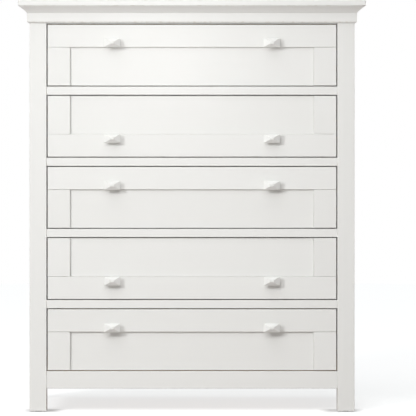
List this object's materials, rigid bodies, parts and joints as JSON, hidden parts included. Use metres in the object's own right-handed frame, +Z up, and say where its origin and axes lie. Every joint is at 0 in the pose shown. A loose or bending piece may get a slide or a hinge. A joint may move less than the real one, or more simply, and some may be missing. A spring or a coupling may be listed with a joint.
{
  "type": "tall chest of drawers",
  "caption": "Tall white painted chest with inset frame-and-panel drawers, pyramid-faced knobs, square legs and a bevelled cornice.",
  "frame": {"origin": "on the floor, under the middle of the top board", "axes": "+Z up, -Y towards the front where the drawers open, +X to the right seen from the front"},
  "size_m": [1.016, 0.508, 1.204],
  "materials": {
    "white_paint": "satin white paint over solid wood",
    "knob_paint": "satin white paint on turned hardwood",
    "drawer_box_wood": "clear satin lacquer",
    "plywood": "clear lacquered birch plywood",
    "back_board": "matt white hardboard",
    "bare_wood": "bare planed pine",
    "runner_steel": "bright zinc plate",
    "screw_steel": "yellowish zinc plate",
    "glide_plastic": "moulded nylon"
  },
  "bodies": {
    "case": {"back_panel": "back_board", "back_rails": "bare_wood", "bottom_rail": "white_paint", "case_screws": "screw_steel", "corner_blocks": "bare_wood", "crown_moulding": "white_paint", "drawer_dividers": "white_paint", "floor_glides": "glide_plastic", "frieze_moulding": "white_paint", "front_leg_left": "white_paint", "front_leg_right": "white_paint", "rear_leg_left": "white_paint", "rear_leg_right": "white_paint", "runner_case_members": "runner_steel", "runner_cleats": "bare_wood", "side_panel_left": "white_paint", "side_panel_right": "white_paint", "side_rails": "white_paint", "top_board": "white_paint", "top_rail": "white_paint"},
    "drawer_1": {"drawer_1_bottom": "plywood", "drawer_1_box": "drawer_box_wood", "drawer_1_front_frame": "white_paint", "drawer_1_front_panel": "white_paint", "drawer_1_knobs": "knob_paint", "drawer_1_runner_members": "runner_steel", "drawer_1_screws": "screw_steel"},
    "drawer_2": {"drawer_2_bottom": "plywood", "drawer_2_box": "drawer_box_wood", "drawer_2_front_frame": "white_paint", "drawer_2_front_panel": "white_paint", "drawer_2_knobs": "knob_paint", "drawer_2_runner_members": "runner_steel", "drawer_2_screws": "screw_steel"},
    "drawer_3": {"drawer_3_bottom": "plywood", "drawer_3_box": "drawer_box_wood", "drawer_3_front_frame": "white_paint", "drawer_3_front_panel": "white_paint", "drawer_3_knobs": "knob_paint", "drawer_3_runner_members": "runner_steel", "drawer_3_screws": "screw_steel"},
    "drawer_4": {"drawer_4_bottom": "plywood", "drawer_4_box": "drawer_box_wood", "drawer_4_front_frame": "white_paint", "drawer_4_front_panel": "white_paint", "drawer_4_knobs": "knob_paint", "drawer_4_runner_members": "runner_steel", "drawer_4_screws": "screw_steel"},
    "drawer_5": {"drawer_5_bottom": "plywood", "drawer_5_box": "drawer_box_wood", "drawer_5_front_frame": "white_paint", "drawer_5_front_panel": "white_paint", "drawer_5_knobs": "knob_paint", "drawer_5_runner_members": "runner_steel", "drawer_5_screws": "screw_steel"},
    "runner_1_middle": {"runner_1_middle_members": "runner_steel"},
    "runner_2_middle": {"runner_2_middle_members": "runner_steel"},
    "runner_3_middle": {"runner_3_middle_members": "runner_steel"},
    "runner_4_middle": {"runner_4_middle_members": "runner_steel"},
    "runner_5_middle": {"runner_5_middle_members": "runner_steel"}
  },
  "joints": [
    {"name": "drawer_1_slide", "type": "slide", "parent": "case", "child": "drawer_1", "axis": [0, -1, 0], "range_m": [0, 0.38]},
    {"name": "drawer_2_slide", "type": "slide", "parent": "case", "child": "drawer_2", "axis": [0, -1, 0], "range_m": [0, 0.38]},
    {"name": "drawer_3_slide", "type": "slide", "parent": "case", "child": "drawer_3", "axis": [0, -1, 0], "range_m": [0, 0.38]},
    {"name": "drawer_4_slide", "type": "slide", "parent": "case", "child": "drawer_4", "axis": [0, -1, 0], "range_m": [0, 0.38]},
    {"name": "drawer_5_slide", "type": "slide", "parent": "case", "child": "drawer_5", "axis": [0, -1, 0], "range_m": [0, 0.38]},
    {"name": "runner_1_slide", "type": "slide", "parent": "case", "child": "runner_1_middle", "axis": [0, -1, 0], "range_m": [0, 0.19]},
    {"name": "runner_2_slide", "type": "slide", "parent": "case", "child": "runner_2_middle", "axis": [0, -1, 0], "range_m": [0, 0.19]},
    {"name": "runner_3_slide", "type": "slide", "parent": "case", "child": "runner_3_middle", "axis": [0, -1, 0], "range_m": [0, 0.19]},
    {"name": "runner_4_slide", "type": "slide", "parent": "case", "child": "runner_4_middle", "axis": [0, -1, 0], "range_m": [0, 0.19]},
    {"name": "runner_5_slide", "type": "slide", "parent": "case", "child": "runner_5_middle", "axis": [0, -1, 0], "range_m": [0, 0.19]}
  ],
  "couplings": [
    {"joint": "runner_1_slide", "follows": "drawer_1_slide", "ratio": 0.5},
    {"joint": "runner_2_slide", "follows": "drawer_2_slide", "ratio": 0.5},
    {"joint": "runner_3_slide", "follows": "drawer_3_slide", "ratio": 0.5},
    {"joint": "runner_4_slide", "follows": "drawer_4_slide", "ratio": 0.5},
    {"joint": "runner_5_slide", "follows": "drawer_5_slide", "ratio": 0.5}
  ]
}
